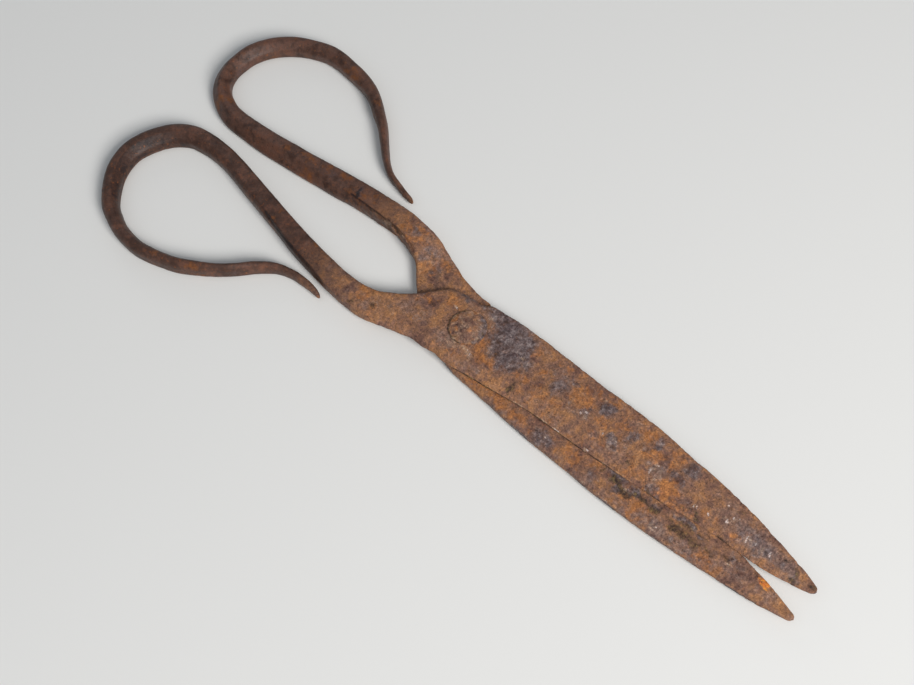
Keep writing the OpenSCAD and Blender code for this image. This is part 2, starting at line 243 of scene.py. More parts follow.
def sections(w, lo, hi, work, m, side):
    """Rings of (v, z) for every station. v is across, positive to the left of the way."""
    n = len(w)
    aA, bA, aB, bB = (np.minimum(work[:, 0], 0.46 * w), work[:, 1],
                      np.minimum(work[:, 2], 0.5 * w), work[:, 3])
    h = hi - lo
    bA, bB = np.minimum(bA, 0.5 * h), np.minimum(bB, 0.84 * h)
    under = np.minimum(np.minimum(1.1, 0.3 * w), 0.35 * h)
    # under a blade the lower corners are nearly sharp, and the lower half has
    # its cutting bevel underneath, on its left
    cR, dR = under + (0.12 - under) * m, under + (0.12 - under) * m
    cL, dL = cR.copy(), dR.copy()
    if side < 0:
        bev = np.minimum(3.0, 0.5 * w)
        cL = under + (bev - under) * m
        dL = under + (h - 0.9 - under) * m
    z = np.zeros(n)
    half = w / 2
    corners = [
        (half - aA, hi), (-half + aB, hi), (-half, hi - bB), (-half, lo + dR),
        (-half + cR, lo), (half - cL, lo), (half, lo + dL), (half, hi - bA),
    ]
    corners = [(a + z, b + z) for a, b in corners]
    # how far each bend reaches along its edges: soft on the bars' outer
    # corners, short at the ridges
    crisp = 0.35 + 0.0 * w
    reach = [0.9, 0.55, 1.0, 1.0, 1.0, 1.0, 1.0, 0.9]
    pts = []
    for i in range(8):
        here = np.stack(corners[i], -1)
        prev = np.stack(corners[(i - 1) % 8], -1)
        nxt = np.stack(corners[(i + 1) % 8], -1)
        back = np.linalg.norm(prev - here, axis=1)
        on = np.linalg.norm(nxt - here, axis=1)
        r = reach[i] * (1 - m) + {1: 2.4, 0: 0.7, 7: 0.7}.get(i, 0.3) * m
        rb = np.minimum(r, 0.45 * back)[:, None]
        ro = np.minimum(r, 0.45 * on)[:, None]
        start = here + (prev - here) / np.maximum(back, 1e-6)[:, None] * rb
        end = here + (nxt - here) / np.maximum(on, 1e-6)[:, None] * ro
        pts.append((start, here, end))
    ring = []
    for i in range(8):
        start, here, end = pts[i]
        for j in range(BEND + 1):
            t = j / (BEND + 1)
            ring.append((1 - t) ** 2 * start + 2 * t * (1 - t) * here + t * t * end)
        nxt = pts[(i + 1) % 8][0]
        for j in range(SPLIT[i]):
            t = j / SPLIT[i]
            ring.append(end + (nxt - end) * t)
    return np.stack(ring, 1)


def loft(rows, work_rows, side, spacing=0.45):
    rows = np.asarray(rows, float)
    n = len(rows) - 1
    fine = np.linspace(0, n, n * 60 + 1)
    xy = catmull(rows[:, :3], fine)[:, :2]
    along = np.concatenate([[0], np.cumsum(np.linalg.norm(np.diff(xy, axis=0), axis=1))])
    count = int(along[-1] / spacing) + 1
    s = np.linspace(0, along[-1], count)
    # two more rings close to each end, so that the ends can be rounded
    s = np.unique(np.concatenate([s, [0.12, 0.28, along[-1] - 0.28, along[-1] - 0.12]]))
    u = np.interp(s, along, fine)
    c = catmull(rows[:, :3], u)
    zi = np.interp(u, np.arange(n + 1), rows[:, 3])
    zo = np.interp(u, np.arange(n + 1), rows[:, 4])
    m = np.interp(u, np.arange(n + 1), rows[:, 5])
    x = c[:, 0]
    # the slope from bar to neck is eased into the flat, a little before the
    # flat begins
    ease = side * np.interp(x, [-40, -34, -31, -27, -24.2, -22.4], [0, 0, 0.1, 0.55, 0.35, 0])
    zi_s = soften(soften(zi, spacing, 1.2) + ease * (x > -40), spacing, 1.6)
    zo_s, m_s = (soften(v, spacing, 1.6) for v in (zo, m))
    # beside the other half the inner face never comes nearer than designed
    near = x > -27
    zi = np.where(near, np.maximum(zi_s, zi) if side > 0 else np.minimum(zi_s, zi), zi_s)
    zo, m = zo_s, np.where(m > 0.999, 1, m_s)
    w = c[:, 2]
    lo, hi = np.minimum(zi, zo), np.maximum(zi, zo)
    tab = np.asarray(work_rows, float)
    work = np.stack([soften(np.interp(u, tab[:, 0], tab[:, i]), spacing, 2.0) for i in range(1, 5)], -1)
    # both ends rounded off
    for end, reach in ((0, 0.9), (1, 0.7)):
        d = (s - s[0]) if end == 0 else (s[-1] - s)
        k = np.sqrt(np.clip(1 - (1 - np.clip(d / reach, 0, 1)) ** 2, 0.04, 1))
        w = w * k
        mid = (lo + hi) / 2
        hk = 0.45 + 0.55 * k
        lo, hi = mid + (lo - mid) * hk, mid + (hi - mid) * hk
    ring = sections(w, lo, hi, work, m, side)
    t = np.gradient(c[:, :2], s, axis=0)
    head = np.unwrap(np.arctan2(t[:, 1], t[:, 0]))
    head = np.round(head[-1] / (2 * math.pi)) * -2 * math.pi + head
    head = soften(head * (1 - m), spacing, 0.8)
    v, z = ring[..., 0], ring[..., 1]
    # the two edges, drawn smooth where the bar opens out into the flat neck
    out = np.stack([-np.sin(head), np.cos(head)], -1)
    left, right = c[:, :2] + out * w[:, None] / 2, c[:, :2] - out * w[:, None] / 2
    here = step(-40, -34, x) * (1 - step(-17, -13, x))
    for edge in (left, right):
        for i in (0, 1):
            edge[:, i] += here * (soften(edge[:, i], spacing, 2.6) - edge[:, i])
    t = (v / w[:, None] + 0.5)[..., None]
    flat = right[:, None] * (1 - t) + left[:, None] * t
    return np.concatenate([flat, z[..., None]], -1), s, m, v, w


def ring_normals(p):
    a = np.gradient(p, axis=0)
    b = np.roll(p, -1, 1) - np.roll(p, 1, 1)
    nrm = np.cross(b, a)
    nrm /= np.maximum(np.linalg.norm(nrm, axis=2, keepdims=True), 1e-9)
    return nrm


def groove(p, line, width):
    """How near each point is to a line drawn over the halves, seen from above: 1 on it, 0 away from it."""
    line = np.asarray(line, float)
    best = np.full(len(p), 99.0)
    for a, b in zip(line[:-1], line[1:]):
        ab = b - a
        t = np.clip(((p[:, :2] - a) @ ab) / (ab @ ab), 0, 1)
        best = np.minimum(best, np.linalg.norm(p[:, :2] - a - t[:, None] * ab, axis=1))
    return np.exp(-((best / width) ** 2))


def blobs(p, spots, warp, edge=0.35):
    """The greatest of several soft-edged ellipses: x, y, half length, half width, strength."""
    out = np.zeros(len(p))
    qx, qy = p[:, 0] + warp[0], p[:, 1] + warp[1]
    for x, y, rx, ry, k in spots:
        d = np.sqrt(((qx - x) / rx) ** 2 + ((qy - y) / ry) ** 2)
        out = np.maximum(out, k * (1 - step(1 - edge, 1 + edge, d)))
    return out


# -------------------------------------------------- places of the rust's marks
SLATE_UP = [
    (6, 8.6, 7, 3.4, 1), (13, 6.5, 7.5, 5.5, 1), (16.5, 0.5, 5, 5, 1), (10, 3, 4, 3, 1),
    (17, -3.4, 3, 2, 0.8), (21.5, 2.6, 2.2, 2, 0.7), (28, 7.4, 3.2, 1.8, 0.5),
    (33, 3.6, 3.6, 3.2, 0.75), (35.5, 7, 2, 1.6, 0.6), (43.2, 2.2, 2, 2.4, 0.9),
    (47.5, 6.9, 2.4, 2.6, 0.95), (39, 0.4, 1.8, 1.3, 0.5), (45.5, -0.8, 2, 1, 0.5),
    (55, 0.8, 2.2, 2, 0.8), (58.4, 5, 1.3, 3.6, 0.8), (64.6, 9, 1.1, 3.6, 0.75),
    (62.6, 6.6, 2.2, 1.6, 0.6), (76.5, 8.4, 3, 2.4, 0.95), (75.5, 4.4, 3.2, 1.4, 0.8),
    (71, -1.8, 2.6, 2, 0.6), (80.5, 1.4, 2.6, 1.2, 0.6), (52, 8.4, 1.4, 2, 0.4),
    (69, 2.6, 2.6, 1.6, 0.5), (84, 4.6, 5, 3, 0.12), (92, 5, 3.4, 2.4, 0.25), (101, 4.6, 7, 2.6, 0.55),
    (108, 3.4, 6, 1.8, 0.5), (-22, 9.4, 1.6, 2.2, 0.5), (-6.6, 7.6, 2.6, 1.8, 0.7),
    (-14, -7.8, 3, 1.6, 0.35), (9, -7.6, 2.6, 1.4, 0.5), (-24, -10, 4, 2, 0.4),
]
SLATE_LO = [
    (62, -5.6, 3.4, 1.4, 1), (63.4, -8, 1.6, 2, 0.9), (67.5, -6, 2.4, 1.1, 1), (56.4, -9, 2, 2, 0.7),
    (39.4, -10, 3.4, 2.6, 0.85), (24, -11.6, 3, 1, 0.6), (86, -3, 6, 0.9, 0.8), (74.5, -4.6, 3.2, 1.2, 0.85),
    (78.2, -9.6, 3.2, 1.2, 0.5), (86, -9.4, 4, 1, 0.4), (100, -2, 4, 1.4, 0.5), (-22, 9.8, 1.6, 2, 0.6),
    (-21.8, 6.6, 2, 1.4, 0.6), (-27.6, 12.6, 3, 2.4, 0.5), (-28.6, 9.4, 1.8, 1.6, 0.6), (-36, 13, 3, 1.6, 0.45),
    (-60.5, 12, 1.4, 2.2, 0.6), (-71, 11.4, 3, 1.6, 0.4),
]
DARK_UP = [
    (84.8, 0, 2.6, 0.8, 0.9), (80.5, -0.6, 1.4, 0.5, 0.7), (95, -0.9, 3, 0.6, 0.9), (102.4, 0.5, 0.9, 0.8, 0.7),
    (118.6, 4.2, 1.8, 1.0, 0.9), (113.6, 2.7, 2.2, 0.8, 0.8), (109.6, 6, 1.2, 0.9, 0.6), (113.4, 5.2, 1.2, 0.8, 0.6),
    (22.2, -5.6, 1, 1.5, 0.8), (19.6, -4.2, 1.4, 0.8, 0.6), (60.2, -1.6, 1.6, 1, 0.5), (72.4, -3.1, 2.4, 0.7, 0.8),
    (75.6, -3.4, 1.4, 0.6, 1), (93.4, 8.8, 1.6, 1.0, 0.5), (-11.6, -9.6, 2.8, 0.9, 0.6), (-8.6, -8.8, 1.8, 0.9, 0.6),
    (-0.8, 9.4, 1.8, 1.2, 0.8), (82.6, 1.4, 1.2, 0.8, 0.7), (47, 8, 1, 0.8, 0.4), (-27, -12.8, 1.3, 1.1, 0.6),
    (3.6, 6, 1.2, 0.8, 0.5), (9, -9.4, 3, 0.8, 0.6),
]
DARK_LO = [
    (62.4, -6.6, 2.6, 1.3, 1), (66.6, -7.2, 2.6, 1.5, 1), (73.6, -5.4, 2.2, 0.9, 1), (79.6, -5.2, 2.4, 0.9, 0.8),
    (75.2, -6, 1.8, 1.7, 1), (82.6, -6, 2.6, 1.5, 0.9), (88, -6, 4.4, 2, 0.85), (93, -5.2, 2, 1, 0.8),
    (70.6, -5.6, 1.8, 1.2, 0.9), (85, -4, 3, 0.8, 0.8), (97, -3.4, 2.4, 0.8, 0.6),
    (67.4, -6.6, 1.6, 0.8, 0.9), (58, -6.4, 2, 0.6, 0.7), (76.4, -4, 1.2, 0.6, 1), (-53, 9.2, 5, 0.7, 0.6),
    (-42, 10.2, 7, 0.8, 0.9), (-60.6, 11.4, 0.9, 1.8, 0.8), (118.8, -4.7, 1.4, 1, 0.6), (90, -2.4, 4, 0.5, 0.7),
]
ORANGE_UP = [
    (75, 0.4, 3.4, 3.2, 1), (78.5, -1.6, 4, 1.6, 0.8), (65.4, 5.8, 3, 2.4, 0.8), (61, 9.4, 3.4, 1.8, 0.8),
    (40.4, 5.4, 4, 4, 0.8), (49, 3.4, 3, 2.4, 0.6), (26.4, 3.3, 0.9, 0.8, 1), (12.5, -4, 4.4, 1.8, 0.9),
    (5.8, 0.9, 2.4, 1.8, 0.9), (22.4, -1.8, 3, 1.8, 0.8), (32, -1.4, 6, 2.2, 0.6), (88, 1.4, 3.4, 1.4, 0.7),
    (54, 5.4, 3, 3.6, 0.6), (46, 10.4, 5, 1.4, 0.6), (31, 9.4, 4, 1.6, 0.6), (66, -1.2, 4, 2, 0.5),
    (21, 7.6, 2.6, 2.6, 0.5), (96, 2.2, 2.6, 1.4, 0.7), (70.6, 8.4, 2.6, 2.4, 0.7), (-18.3, -3.1, 1.1, 1.0, 0.8),
    (-9, 3.4, 4, 2.4, 0.6), (-15, 0, 4, 4, 0.4), (1, -8.6, 4, 1.4, 0.5), (34, 4, 10, 1, 0.2), (28, -4.6, 4, 1.4, 0.5),
    (71.5, 5.6, 2, 1.4, 0.6), (8, -1.8, 2, 1.6, 0.8),
]
ORANGE_LO = [
    (70, -7.6, 6, 2, 0.8), (48, -8.6, 4.4, 2.6, 0.8), (15, -10, 4.4, 1.6, 0.9), (22.5, -9.8, 4.4, 1.5, 0.8),
    (30, -10.2, 4.4, 2, 0.7), (94.5, -8, 4, 2.2, 0.8), (55.4, -6, 2.4, 1.4, 0.7), (72, -11, 4, 1.2, 0.6),
    (82, -5, 4, 1.4, 0.5), (-22, 12, 5, 1.4, 0.6), (-18, 12, 3, 1.2, 0.5), (-82.5, 10.8, 2.6, 1.4, 0.9),
    (-74.6, 11.6, 2, 1.1, 0.7), (-54, 14.4, 2, 1.4, 0.5),
]
PALE_UP = [
    (5.2, -5.4, 2.8, 1.4, 0.75), (7, -6.4, 1.2, 0.9, 0.75), (-0.6, -6.4, 4, 1.6, 0.5), (-7.4, 2.8, 1.0, 0.5, 0.9),
    (44, 9.2, 2, 0.7, 0.6), (3.4, -4.6, 1.4, 0.6, 0.6),
    (69, 2.4, 2, 1.4, 0.4), (99.6, 4, 2, 0.9, 0.5), (92, 4.6, 1.8, 1.6, 0.4),
]
PALE_LO = [
    (78.4, -9.6, 2.6, 1.0, 0.7), (84, -9.8, 4, 0.8, 0.4), (64, -12.4, 4, 0.5, 0.5), (-47, 9.0, 5, 0.7, 0.6),
]
FLECKS_UP = [
    (42.7, 1.7, 0.34, 0.5), (43.8, 2.7, 0.42, 0.34), (44.3, 1.4, 0.28, 0.3), (55.4, 1.4, 0.5, 0.3), (54.2, 1.2, 0.3, 0.4),
    (54.7, -0.5, 0.3, 0.3), (51, 1.2, 0.3, 0.26), (67.8, 1.4, 0.5, 0.4), (67.0, 2.2, 0.34, 0.3), (71, 1.6, 0.45, 0.35),
    (69.6, 2.6, 0.4, 0.3), (68.5, 3.9, 0.35, 0.3), (70.2, 0.5, 0.3, 0.25), (83.2, 1.7, 0.75, 0.45), (82.4, 1.3, 0.35, 0.3),
    (84.3, 2.2, 0.3, 0.25), (87, 2.2, 0.4, 0.24), (89.3, 7.6, 0.34, 0.34), (92.6, 5.9, 0.36, 0.42), (91.8, 4, 0.45, 0.3),
    (90.4, 2.9, 0.4, 0.25), (98.5, 3.8, 0.34, 0.34), (99.5, 4.3, 0.3, 0.25), (100.5, 3.4, 0.42, 0.25), (101.2, 4.0, 0.3, 0.3),
    (98.7, 2.9, 0.25, 0.3), (105.4, 4.0, 0.5, 0.2), (103.4, 3.4, 0.4, 0.2), (94, 6.6, 0.25, 0.3), (18.3, 3.2, 0.22, 0.22),
    (3.3, 6.4, 0.3, 0.2), (5.1, 5.0, 0.25, 0.2), (6.6, -5.8, 0.6, 0.35), (5.2, -5.2, 0.5, 0.3), (-7.4, 2.7, 0.6, 0.25),
    (40.4, -6.1, 1.6, 0.14), (50.8, -5.0, 0.7, 0.16), (1.6, 4.2, 0.25, 0.2),
]
FLECKS_LO = [
    (65.8, -6.6, 0.3, 0.2), (79, -9.2, 0.5, 0.26), (77.8, -10, 0.4, 0.3), (80.2, -9.7, 0.4, 0.2), (39.6, -9.8, 0.22, 0.2),
    (64.4, -12.5, 0.7, 0.14), (99, -4.2, 0.3, 0.18), (56, -12.4, 0.6, 0.12), (-50, 9, 1.6, 0.14), (-58.2, 7.7, 0.6, 0.2),
]
DUST_UP = [
    (103, 4.6, 9, 3, 1), (111, 4, 5, 1.6, 0.8), (92, 5, 4.4, 3, 0.4), (88, 8, 6, 1.6, 0.35), (70, 2.4, 3, 2, 0.6),
    (-3, -6.4, 6, 2.4, 0.5), (-16, -6, 5, 3, 0.5), (30, 8, 5, 2, 0.4), (36, -4.6, 8, 2, 0.4), (57, 8.6, 5, 2, 0.4),
    (52, -2, 6, 2, 0.5), (20, 9.4, 6, 1.4, 0.4), (-28, -14, 7, 3, 0.4), (6, -8.6, 5, 1.6, 0.4),
]
DUST_LO = [
    (79, -9.6, 8, 2, 0.9), (70, -11.2, 6, 1.4, 0.7), (90, -8.6, 6, 1.6, 0.6), (101, -5.6, 8, 2, 0.5), (60, -11.4, 7, 1.4, 0.5),
    (30, -12, 8, 1.6, 0.5), (46, -12, 6, 1, 0.5), (-24, 12, 3, 3, 0.5), (-32, 12, 5, 2, 0.4), (112, -4.4, 5, 1.4, 0.4),
]
# bright orange marks: a rust stain at the lower blade's tip, and a painted orange glint on the side of the upper bow's
# tail
GLOW_LO = [(108.9, -2.1, 2.0, 1.0, 1), (110.2, -2.9, 1.2, 0.6, 0.8)]
ORANGE_GLINT_UP = [(-66.4, -30.8, 1.3, 0.7, 0.9)]


def make_half(name, rows, work_rows, side):
    p, s, m, v, w = loft(rows, work_rows, side)
    nr, k, _ = p.shape
    nrm = ring_normals(p)
    flat = p.reshape(-1, 3)
    normal = nrm.reshape(-1, 3)
    centre = p.mean(1, keepdims=True)
    if ((p - centre) * nrm).sum() < 0:
        normal = -normal
    x, y, z = flat.T
    mm = np.repeat(m, k)
    vv, ww = v.reshape(-1), np.repeat(w, k)
    bar = 1 - mm
    up = np.clip(normal[:, 2], 0, 1)
    seed = 11 if side > 0 else 47

    # hammer blows and an uneven outline
    rim = np.clip(1 - np.minimum(np.abs(vv - ww / 2), np.abs(vv + ww / 2)) / 0.8, 0, 1)
    calm = 1 - 0.55 * rim * mm
    bow = 1 - step(-62, -30, x)
    d = 0.10 * noise(flat, 11, seed) * calm
    d += 0.07 * noise(flat, 5.0, seed + 1) * (1 - 0.6 * bow) * calm
    f1, f2, rnd = cells(flat * np.array([1, 1, 0.5]), 6.5, seed + 2)
    d -= 0.08 * np.clip(0.62 - f1, 0, 1) * (1 - 0.5 * bow) * calm
    # rust: a grainy skin, layers of scale with broken edges, and pits
    grain = layers(flat, 2.2, seed + 3, 3, 0.6)
    d += 0.035 * grain * (1.3 - 0.8 * bow)
    plate = layers(flat * np.array([1, 1, 0.6]), 5.0, seed + 9, 4, 0.55)
    scale = step(-0.02, 0.07, plate) + 0.6 * step(0.32, 0.38, plate)
    d += 0.055 * (scale - 0.6) * (1 - 0.65 * bow)
    g1, g2, pr = cells(flat, 2.4, seed + 20)
    size = 0.16 + 0.3 * pr
    pit = (pr > 0.55) * np.clip(1 - (g1 / size) ** 2, 0, 1)
    d -= 0.14 * pit * (1 - 0.5 * bow)
    h1, h2, hr = cells(flat, 1.1, seed + 30)
    tiny = (hr > 0.6) * np.clip(1 - (h1 / 0.42) ** 2, 0, 1)
    d -= 0.06 * tiny * (0.5 + 0.5 * mm)
    # nicks along the thin edges
    nick = step(0.2, 0.6, noise(flat * np.array([1, 1, 0.15]), 1.7, seed + 40))
    d -= 0.13 * rim * nick * mm

    warp = (1.5 * layers(flat, 4.5, seed + 50, 4, 0.6), 1.5 * layers(flat, 4.5, seed + 60, 4, 0.6))
    small = (0.25 * noise(flat, 1.2, seed + 55), 0.25 * noise(flat, 1.2, seed + 65))
    top = step(0.1, 0.5, normal[:, 2])
    seen = np.maximum(top, step(0.2, 0.7, -normal[:, 1]) * (z > 2.0))
    slate = blobs(flat, SLATE_UP if side > 0 else SLATE_LO, warp, 0.7) * seen
    dark = blobs(flat, DARK_UP if side > 0 else DARK_LO, [0.8 * a for a in warp], 0.7) * seen
    orange = blobs(flat, ORANGE_UP if side > 0 else ORANGE_LO, warp, 0.8) * seen
    pale = blobs(flat, PALE_UP if side > 0 else PALE_LO, [0.5 * a for a in warp], 0.8) * top
    dust = blobs(flat, DUST_UP if side > 0 else DUST_LO, warp, 0.8) * seen
    stain_and_glint = blobs(flat, ORANGE_GLINT_UP if side > 0 else GLOW_LO, [0.3 * a for a in warp], 0.3) * seen
    # flecks of bare metal, painted near-white as glints, each with a soft pale halo
    fleck = np.zeros(len(flat))
    for fx, fy, rx, ry in (FLECKS_UP if side > 0 else FLECKS_LO):
        q = np.sqrt(((x + small[0] - fx) / (rx + 0.1)) ** 2 + ((y + small[1] - fy) / (ry + 0.1)) ** 2)
        fleck = np.maximum(fleck, 1 - step(0.2, 1.3, q))
        pale = np.maximum(pale, 0.55 * (1 - step(0.3, 1.0, np.hypot(x + warp[0] * 0.5 - fx, y + warp[1] * 0.5 - fy) / 1.3)) * top)
    fleck *= top
    if side > 0:
        # painted shadow: the wall of the upper blade's cutting edge takes the dark colour, a dark line where the blades
        # meet, fainter towards the tip
        painted_shade_wall = (np.abs(vv + ww / 2) < 0.14) * (z < UP_Z + 0.62) * step(2, 8, x) * (1 - step(92, 100, x))
        dark = np.maximum(dark, 1.3 * painted_shade_wall * (1 - 0.7 * step(56, 64, x)))
        # a pale line along the top of the cutting edge: worn iron, and a painted highlight of the edge catching the
        # light
        wear_and_painted_light = np.clip(1 - np.abs(vv + ww / 2 - 0.3) / 0.35, 0, 1) * step(14, 24, x) * (1 - step(58, 68, x)) * (z > UP_Z + 0.3)
        pale = np.maximum(pale, 0.95 * wear_and_painted_light * step(-0.35, 0.3, noise(flat, 3.4, 91)))
    # where nobody has worn it, the rust falls in patches of its own
    wild = layers(flat, 9.0, seed + 70, 4, 0.5)
    slate = np.maximum(slate, step(0.2, 0.6, wild) * (1 - top) * (0.3 + 0.7 * mm))
    streak = layers(flat, 6.0, seed + 80, 3)
    dark = np.maximum(dark, (0.62 - 0.3 * bow) * step(0.05, 0.9, streak) * (1 - 0.75 * top * mm))
    orange = np.maximum(orange, 0.7 * step(0.15, 0.7, -wild) * (1 - 0.4 * top * mm))

    # slate scale stands a little proud, with a broken edge; scabs stand more
    d += 0.05 * step(0.35, 0.5, slate) * top
    d += 0.10 * step(0.4, 0.6, dark) * mm * top * (0.5 + 0.5 * noise(flat, 0.9, seed + 90))
    d -= 0.08 * fleck

    if side > 0:
        # painted shadow beside the rivet: a dark crescent on the face just outside its proud rim, on the side away from
        # the key lamp
        lean = 0.5 + 0.5 * np.cos(np.arctan2(y, x) - math.radians(215))
        dark = np.maximum(dark, 0.6 * np.exp(-((np.hypot(x, y) - 5.9) / 0.3) ** 2) * step(0.4, 0.8, lean) * top)
        # painted shade on the inner slope of the bow's back, where its faces turn towards the key lamp
        dark = np.maximum(dark, 0.62 * bow * step(0.15, 0.5, normal[:, 0]) * (1 - step(-118, -96, x)) * (z > 1.5))
        # two small ring-shaped pits beside the boss
        for cx, cy, rr in ((-18.3, -3.1, 0.9), (-27.0, -12.9, 1.0)):
            r = np.hypot(x - cx, y - cy)
            d += top * (0.12 * np.exp(-((r - rr) / 0.28) ** 2) - 0.16 * np.exp(-((r / (0.6 * rr)) ** 2)))
        # a lap left by forging, under the ridge of the shank
        lap = groove(flat, [(-80, -12.0), (-72, -13.9), (-66, -14.9), (-60, -15.7), (-55, -16.2), (-50, -17.0), (-45, -17.7)], 0.4)
        lap *= (z > 3.5)
        d -= 0.28 * lap
        dark = np.maximum(dark, 0.9 * groove(flat, [(-78, -12.4), (-66, -15.0), (-55, -16.4), (-46, -17.6)], 0.6) * (z > 3.2))
    else:
        # scale lifting off the side of the shank, and a chisel notch beyond it
        side_y = step(0.3, 0.8, -normal[:, 1])
        band = step(-60, -55, x) * (1 - step(-36, -31, x)) * (z > 0.8)
        flakes = layers(flat * np.array([0.6, 1, 1.3]), 2.6, seed + 95, 3, 0.6)
        d += band * np.maximum(side_y, 0.4 * groove(flat, [(-58, 10.4), (-44, 10.8), (-34, 9.6)], 0.6)) * (
            0.20 * step(0.0, 0.12, flakes) - 0.14)
        lap = groove(flat, [(-62, 10.0), (-55, 10.3), (-48, 10.5), (-43, 10.6), (-37, 10.0), (-32, 8.4)], 0.35) * (z > 4.4)
        d -= 0.30 * lap
        dark = np.maximum(dark, 0.9 * lap)
        pale = np.maximum(pale, 0.5 * band * side_y * step(0.0, 0.15, flakes) * (z > 2.5))
        cut = groove(flat, [(-61.2, 11.2), (-60.6, 13.4)], 0.35) * top
        d -= 0.3 * cut
    # shoulder beside the rivet, where the neck steps out to the blade
    step_in = np.exp(-((x + 1.2) / 0.9) ** 2) * step(8.6, 9.6, y)
    d -= 0.35 * step_in * mm

    # inner faces stay flat and clear of the other half
    flat = flat + normal * np.minimum(d, 0.22)[:, None]
    blade = mm > 0.5
    if side > 0:
        inner = blade & (z < UP_Z + 0.06)
        flat[:, 2] = np.where(blade, np.maximum(flat[:, 2], UP_Z), flat[:, 2])
    else:
        inner = blade & (z > MID_Z - 0.06)
        flat[:, 2] = np.where(blade, np.minimum(flat[:, 2], MID_Z), flat[:, 2])
        # blade and neck don't rise past the face that the upper half slides on
    flat[:, 2] = np.maximum(flat[:, 2], 0.0)
    cav = np.clip(-d / 0.25, 0, 1)

    verts = list(flat * MM) + [flat.reshape(nr, k, 3)[0].mean(0) * MM, flat.reshape(nr, k, 3)[-1].mean(0) * MM]
    idx = np.arange(nr * k).reshape(nr, k)
    a, b = idx[:-1], idx[1:]
    quads = np.stack([a, np.roll(a, -1, 1), np.roll(b, -1, 1), b], -1).reshape(-1, 4)
    faces = [tuple(q) for q in quads.tolist()]
    first, last = nr * k, nr * k + 1
    for j in range(k):
        faces.append((first, int(idx[0, (j + 1) % k]), int(idx[0, j])))
        faces.append((last, int(idx[-1, j]), int(idx[-1, (j + 1) % k])))
    me = bpy.data.meshes.new(name)
    me.from_pydata(verts, [], faces)
    me.update()
    bm = bmesh.new()
    bm.from_mesh(me)
    bmesh.ops.recalc_face_normals(bm, faces=bm.faces)
    if bm.calc_volume(signed=True) < 0:
        bmesh.ops.reverse_faces(bm, faces=bm.faces)
    bm.to_mesh(me)
    bm.free()
    marks = {"slate": slate, "dark": dark, "orange": orange, "pale": pale, "fleck": fleck,
             "stain_and_glint": stain_and_glint, "dust": dust, "cavity": cav, "bow": bow}
    for key, val in marks.items():
        at = me.attributes.new(key, "FLOAT", "POINT")
        at.data.foreach_set("value", np.concatenate([val, [val[0], val[-1]]]).astype(np.float32))
    ob = bpy.data.objects.new(name, me)
    bpy.context.scene.collection.objects.link(ob)

    # the end rings have sharp corners, where their points fall together
    bm = bmesh.new()
    bm.from_mesh(ob.data)
    bm.verts.ensure_lookup_table()
    corner = [bm.verts[i] for i in (*range(k), *range((nr - 1) * k, nr * k))]
    bmesh.ops.remove_doubles(bm, verts=corner, dist=1.5e-7)
    bm.to_mesh(ob.data)
    bm.free()

    # the hole that the rivet goes through
    bpy.ops.mesh.primitive_cylinder_add(vertices=96, radius=(3.05 if side > 0 else 3.0) * MM, depth=0.012, location=(0, 0, 0.0037))
    drill = bpy.context.active_object
    mod = ob.modifiers.new("hole", "BOOLEAN")
    mod.operation = "DIFFERENCE"
    mod.object = drill
    mod.solver = "MANIFOLD"
    bpy.context.view_layer.objects.active = ob
    bpy.ops.object.modifier_apply(modifier="hole")
    bpy.data.objects.remove(drill)
    ob.data.shade_smooth()
    ob.data.set_sharp_from_angle(angle=math.radians(48))
    return ob


# ---------------------------------------------------------- rivet and burr
def lathe(name, profile, turns=128, wobble=None, marks=None):
    """A turned piece: profile is a closed or axis-to-axis line of (r, z), in mm."""
    prof = np.asarray(profile, float)
    ang = np.linspace(0, 2 * math.pi, turns, endpoint=False)
    closed = prof[0][0] > 1e-6
    verts, faces = [], []
    body = prof if closed else prof[1:-1]
    pts = np.array([[r * math.cos(a), r * math.sin(a), z] for r, z in body for a in ang])
    dents_and_shade = np.zeros(len(pts))
    if wobble is not None:
        pts, dents_and_shade = wobble(pts)
    verts = [tuple(v) for v in pts * MM]
    n = len(body)
    for i in range(n if closed else n - 1):
        for j in range(turns):
            a, b = i * turns + j, i * turns + (j + 1) % turns
            c, d = ((i + 1) % n) * turns + (j + 1) % turns, ((i + 1) % n) * turns + j
            faces.append((a, b, c, d))
    if not closed:
        verts += [(0, 0, pts[:turns, 2].mean() * MM), (0, 0, pts[-turns:, 2].mean() * MM)]
        lo, hi = len(verts) - 2, len(verts) - 1
        dents_and_shade = np.concatenate([dents_and_shade, [dents_and_shade[:turns].mean(), dents_and_shade[-turns:].mean()]])
        for j in range(turns):
            faces.append((lo, (j + 1) % turns, j))
            faces.append((hi, (n - 1) * turns + j, (n - 1) * turns + (j + 1) % turns))
    me = bpy.data.meshes.new(name)
    me.from_pydata(verts, [], faces)
    bm = bmesh.new()
    bm.from_mesh(me)
    bmesh.ops.recalc_face_normals(bm, faces=bm.faces)
    if bm.calc_volume(signed=True) < 0:
        bmesh.ops.reverse_faces(bm, faces=bm.faces)
    bm.to_mesh(me)
    bm.free()
    for key, val in {"cavity": dents_and_shade, **(marks(np.array(verts) / MM) if marks else {})}.items():
        at = me.attributes.new(key, "FLOAT", "POINT")
        at.data.foreach_set("value", np.asarray(val, np.float32))
    me.shade_smooth()
    me.set_sharp_from_angle(angle=math.radians(45))
    ob = bpy.data.objects.new(name, me)
    bpy.context.scene.collection.objects.link(ob)
    return ob


def line(points, gap):
    """Points along a line, no more than gap apart."""
    out = []
    for (r0, z0), (r1, z1) in zip(points[:-1], points[1:]):
        n = max(1, int(math.hypot(r1 - r0, z1 - z0) / gap))
        out += [(r0 + (r1 - r0) * i / n, z0 + (z1 - z0) * i / n) for i in range(n)]
    return out + [points[-1]]


